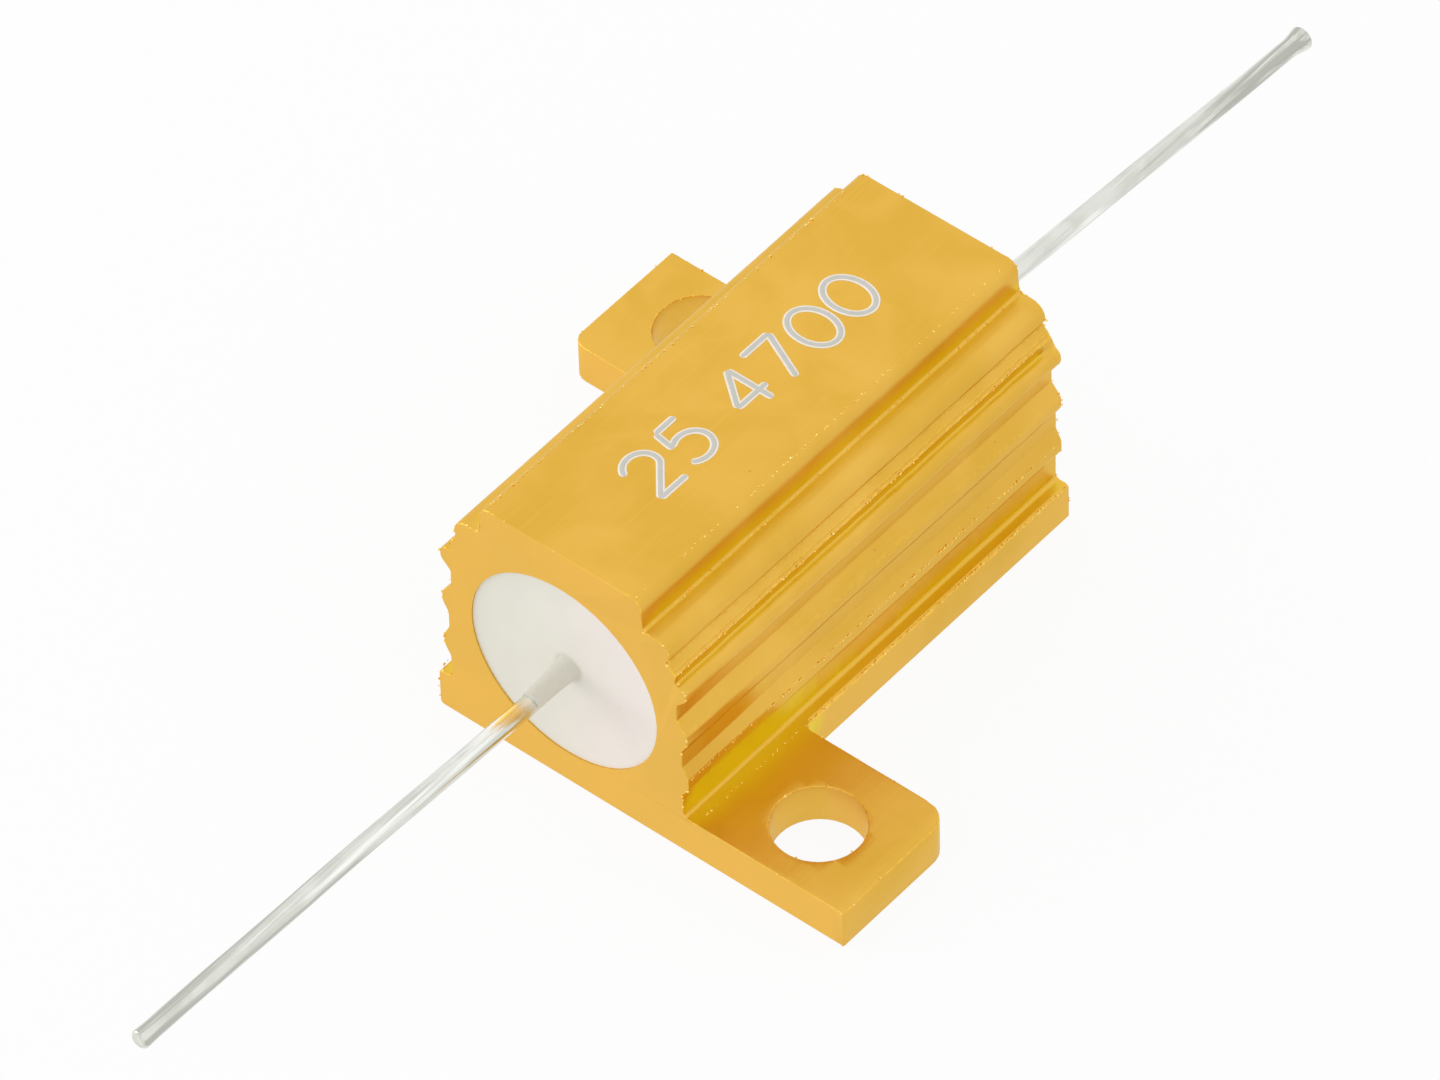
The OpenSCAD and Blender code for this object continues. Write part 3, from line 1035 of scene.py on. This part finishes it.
def dressed_filling():
    """Turned body: a face with its collar round the lead at each end, and a plain wall between."""
    root_r = LEAD_R * 0.9
    foot_r = LEAD_R + COLLAR_W
    rim_r = FILL_R + FILL_GAP
    collar = [LEAD_R + COLLAR_W * i / COLLAR_RINGS for i in range(COLLAR_RINGS)]
    dish = [foot_r + (rim_r - foot_r) * i / FACE_RINGS for i in range(FACE_RINGS + 1)]
    radii = [root_r] + collar + dish

    bm = bmesh.new()
    front = [filling_ring(bm, radius, -1) for radius in radii]
    rear = [filling_ring(bm, radius, 1) for radius in reversed(radii)]
    rings = front + rear
    for a, b in zip(rings, rings[1:]):
        for k in range(FILL_SIDES):
            after = (k + 1) % FILL_SIDES
            bm.faces.new((a[k], a[after], b[after], b[k]))
    bm.faces.new(rings[0])
    bm.faces.new(rings[-1])
    bmesh.ops.recalc_face_normals(bm, faces=bm.faces)
    piece = finish_piece(bm, "filling", "white_filling", sharp=50.0)
    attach(piece, "root")
    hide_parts("potting")


def lead_route(node, mount, drop):
    """Centre points of a lead, from its cap to its cut tip, with the slight kinks of hand-set wire."""
    low, high = node_size(node)
    axis = Vector(mount["axis"]).normalized()
    middle = Vector(mount["pos_m"])
    free_l = mount["dims"]["length_mm"] * MM
    start, tip = middle - axis * free_l / 2, middle + axis * free_l / 2
    way = 1 if axis.y > 0 else -1
    root = Vector((0, low.y if way > 0 else high.y, middle.z))
    bend = Vector((0, start.y - way * 0.06 * MM, middle.z))
    inner = [root, root.lerp(bend, 0.5), bend]
    count = round(free_l / WIRE_STEP)
    shares = [i / count for i in range(count)] + [1 - left / free_l for left in TIP_RINGS]
    kinks = Vector((1, 3.2, 1)) * MM
    points = []
    for share in shares:
        point = start.lerp(tip, share)
        loose = smooth_step(share, 0.02, 0.3) * (1 - smooth_step(share, 0.9, 1.0))
        sway = wander(Vector((0, point.y, 0)), kinks, 2.0 + way) * WIRE_SWAY * loose
        sag = drop * (1 - smooth_step(share, 0, 0.5))
        points.append(point + Vector((sway.x, 0, sway.z - sag)))
    for point in inner[1:]:
        point.z -= drop
    return inner + points


def head_share(left, head):
    """Share of the wire's radius at a distance from its cut tip."""
    swell = 1 + head * (1 - smooth_step(left, 0.05 * MM, 0.55 * MM))
    rounded = 0.08 * MM
    rounding = 0.3 * (1 - min(1.0, left / rounded)) ** 2
    return swell - rounding


def tip_distances(points):
    """Distance of each point from the last one, along the line."""
    left = [0.0]
    backwards = points[::-1]
    for a, b in zip(backwards, backwards[1:]):
        left.append(left[-1] + (a - b).length)
    return left[::-1]


def store_shares(mesh, shares):
    """Keeps each point's share of the section's size in the mesh."""
    layer = mesh.attributes.new("share", "FLOAT", "POINT")
    layer.data.foreach_set("value", shares)


def dressed_lead(node, name, head, drop):
    """Wire called as its mount. The cut tip swells by the share head, and the root sits lower by drop."""
    points = lead_route(node, mounts[name], drop)
    path = edge_mesh(name + "_path", [points])
    store_shares(path, [head_share(left, head) for left in tip_distances(points)])
    values = {"Radius": LEAD_R, "Sides": WIRE_SIDES, "Finish": MATERIALS["tinned_wire"]}
    grown = grown_mesh(WIRE, path, values)
    bm = bmesh.new()
    bm.from_mesh(grown)
    bpy.data.meshes.remove(grown)
    bmesh.ops.remove_doubles(bm, verts=bm.verts, dist=1e-4 * MM)
    bmesh.ops.recalc_face_normals(bm, faces=bm.faces)
    piece = finish_piece(bm, name, "tinned_wire", sharp=50.0)
    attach(piece, "root")
    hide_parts(node)


def arc(x, y, wide, tall, first, last):
    """Points round an ellipse, from one angle to another in degrees."""
    count = max(2, round(abs(last - first) / 10))
    angles = [radians(first + (last - first) * i / count) for i in range(count + 1)]
    return [(x + wide * cos(angle), y + tall * sin(angle)) for angle in angles]


DIGITS = {                    # pen strokes in a cell 0.62 wide and 1 high
    "0": [arc(0.31, 0.5, 0.31, 0.5, 0, 360)],
    "2": [arc(0.31, 0.69, 0.29, 0.31, 165, -28) + [(0.02, 0)], [(0.02, 0), (0.6, 0)]],
    "4": [[(0.47, 0), (0.47, 1)], [(0.47, 1), (0, 0.3)], [(0, 0.3), (0.64, 0.3)]],
    "5": [[(0.56, 1), (0.13, 1)], [(0.13, 1), (0.07, 0.55)], arc(0.29, 0.33, 0.31, 0.33, 132, -145)],
    "7": [[(0, 1), (0.6, 1)], [(0.6, 1), (0.2, 0)]],
}
CELL_W = 0.62
CELL_GAP = 0.17
SPACE_W = 0.45


def fine_line(points, step):
    """The same line with points no further apart than the step."""
    line = [points[0]]
    for a, b in zip(points, points[1:]):
        count = max(1, round((b - a).length / step))
        line += [a.lerp(b, (i + 1) / count) for i in range(count)]
    return line


def plate_top(x, y):
    """Point on the waved top plate, whose flat part runs straight between its two long edges."""
    left, right = (waved(Vector((side * PLATE_FLAT_X, y, TOP_Z))) for side in (-1, 1))
    return left.lerp(right, (x + PLATE_FLAT_X) / (2 * PLATE_FLAT_X))


def number_lines():
    """Pen lines of the numbers on the top plate, read along +Y with their feet towards +X."""
    strokes = []
    start = 0.0
    for sign in NUMERALS:
        if sign == " ":
            start += SPACE_W
            continue
        strokes += [[(start + x, y) for x, y in stroke] for stroke in DIGITS[sign]]
        start += CELL_W + CELL_GAP
    length = start - CELL_GAP
    along = (NUMERALS_L - 2 * PEN_R) / length
    tall = NUMERAL_H - 2 * PEN_R
    lift = Vector((0, 0, PRINT_LIFT))
    lines = []
    for stroke in strokes:
        flat = [Vector(((0.5 - y) * tall, (x - length / 2) * along, 0)) for x, y in stroke]
        lines.append([plate_top(at.x, at.y) + lift for at in fine_line(flat, PEN_STEP)])
    return lines


def end_shares(line, radius):
    """Share of the pen's radius at each point: round at both ends, full along a closed line."""
    total = sum((b - a).length for a, b in zip(line, line[1:]))
    if (line[0] - line[-1]).length < NEAR:
        return [1.0] * len(line)
    shares = []
    gone = 0.0
    for i, point in enumerate(line):
        gone += (point - line[i - 1]).length if i else 0.0
        near = min(1.0, min(gone, total - gone) / radius)
        shares.append(max(0.05, (1 - (1 - near) ** 2) ** 0.5))
    return shares


def numerals():
    """Two layers of print: a wide pale one, and a narrow one on top of it."""
    lines = number_lines()
    shares = [share for line in lines for share in end_shares(line, PEN_R)]
    for name, width, height, material in (
        ("numeral_edges", 1.0, 0.011 * MM, "marking_edge"),
        ("numeral_strokes", 0.66, 0.017 * MM, "marking_silver"),
    ):
        paths = edge_mesh(name + "_lines", lines)
        store_shares(paths, shares)
        values = {"Width": PEN_R * width, "Height": height, "Finish": MATERIALS[material]}
        piece = link_piece(name, grown_mesh(INK, paths, values), material)
        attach(piece, "root")


def clothe_inner_parts():
    for node, material in (
        ("ceramic_core", "ceramic"),
        ("resistance_winding", "resistance_wire"),
        ("front_end_cap", "cap_steel"),
        ("rear_end_cap", "cap_steel"),
    ):
        clothe(frame["nodes"][node].data, material)


# ---------------------------------------------------------------- stage and light


FLOOR_HALF = 400 * MM
FLOOR_DROP = 0.002 * MM       # keeps the floor off the housing's underside
FLOOR_WHITE = 0.92
FLOOR_GLOW = 0.92             # share of plain white where the floor is seen directly
WORLD_LIGHT = 0.85            # strength that lights the object, where the world itself shows as 1


def seen_directly(kit):
    """1 for what the camera, a reflection or a clear body shows, 0 for light on the object."""
    rays = kit.add("ShaderNodeLightPath").outputs
    seen = kit.math("MAXIMUM", rays["Is Camera Ray"], rays["Is Glossy Ray"])
    return kit.math("MAXIMUM", seen, rays["Is Transmission Ray"])


def add_floor():
    bm = bmesh.new()
    bmesh.ops.create_grid(bm, x_segments=1, y_segments=1, size=FLOOR_HALF)
    mesh = bpy.data.meshes.new("floor")
    bm.to_mesh(mesh)
    bm.free()
    floor = bpy.data.objects.new("floor", mesh)
    floor.location.z = -FLOOR_DROP
    scene.collection.objects.link(floor)

    material = bpy.data.materials.new("white_floor")
    material.use_nodes = True
    kit = Nodes(material.node_tree)
    kit.tree.nodes.clear()
    white = (FLOOR_WHITE, FLOOR_WHITE, FLOOR_WHITE, 1)
    paint = kit.add("ShaderNodeBsdfDiffuse", {"Color": white}).outputs["BSDF"]
    glow = kit.add("ShaderNodeEmission", {"Color": (1, 1, 1, 1), "Strength": 1.0}).outputs["Emission"]
    share = kit.times(seen_directly(kit), FLOOR_GLOW)
    mixed = kit.add("ShaderNodeMixShader", {0: share, 1: paint, 2: glow}).outputs["Shader"]
    kit.add("ShaderNodeOutputMaterial", {"Surface": mixed})
    mesh.materials.append(material)


def add_world():
    world = bpy.data.worlds.new("studio")
    world.use_nodes = True
    scene.world = world
    kit = Nodes(world.node_tree)
    kit.tree.nodes.clear()
    strength = kit.ramp(seen_directly(kit), 0.0, 1.0, WORLD_LIGHT, 1.0)
    glow = kit.add("ShaderNodeBackground", {"Color": (1, 1, 1, 1), "Strength": strength})
    kit.add("ShaderNodeOutputWorld", {"Surface": glow.outputs["Background"]})


def add_softbox(name, place, size, strength):
    """Square lamp that looks at the middle of the housing."""
    data = bpy.data.lights.new(name, "AREA")
    data.shape = "SQUARE"
    data.size = size
    data.energy = strength
    lamp = bpy.data.objects.new(name, data)
    lamp.location = place
    aim = Vector((0, 0, BORE_Z)) - Vector(place)
    lamp.rotation_mode = "QUATERNION"
    lamp.rotation_quaternion = aim.to_track_quat("-Z", "Y")
    scene.collection.objects.link(lamp)


# ---------------------------------------------------------------- assembly

add_camera()
dressed_housing()
dressed_filling()
dressed_lead("front_lead", "front_lead_wire", head=0.06, drop=0.1 * MM)
dressed_lead("rear_lead", "rear_lead_wire", head=0.3, drop=0)
numerals()
clothe_inner_parts()
add_floor()
add_world()
add_softbox("left_lamp", Vector((-107, -62, 42)) * MM, 80 * MM, 0.034)
scene.view_settings.view_transform = "Standard"
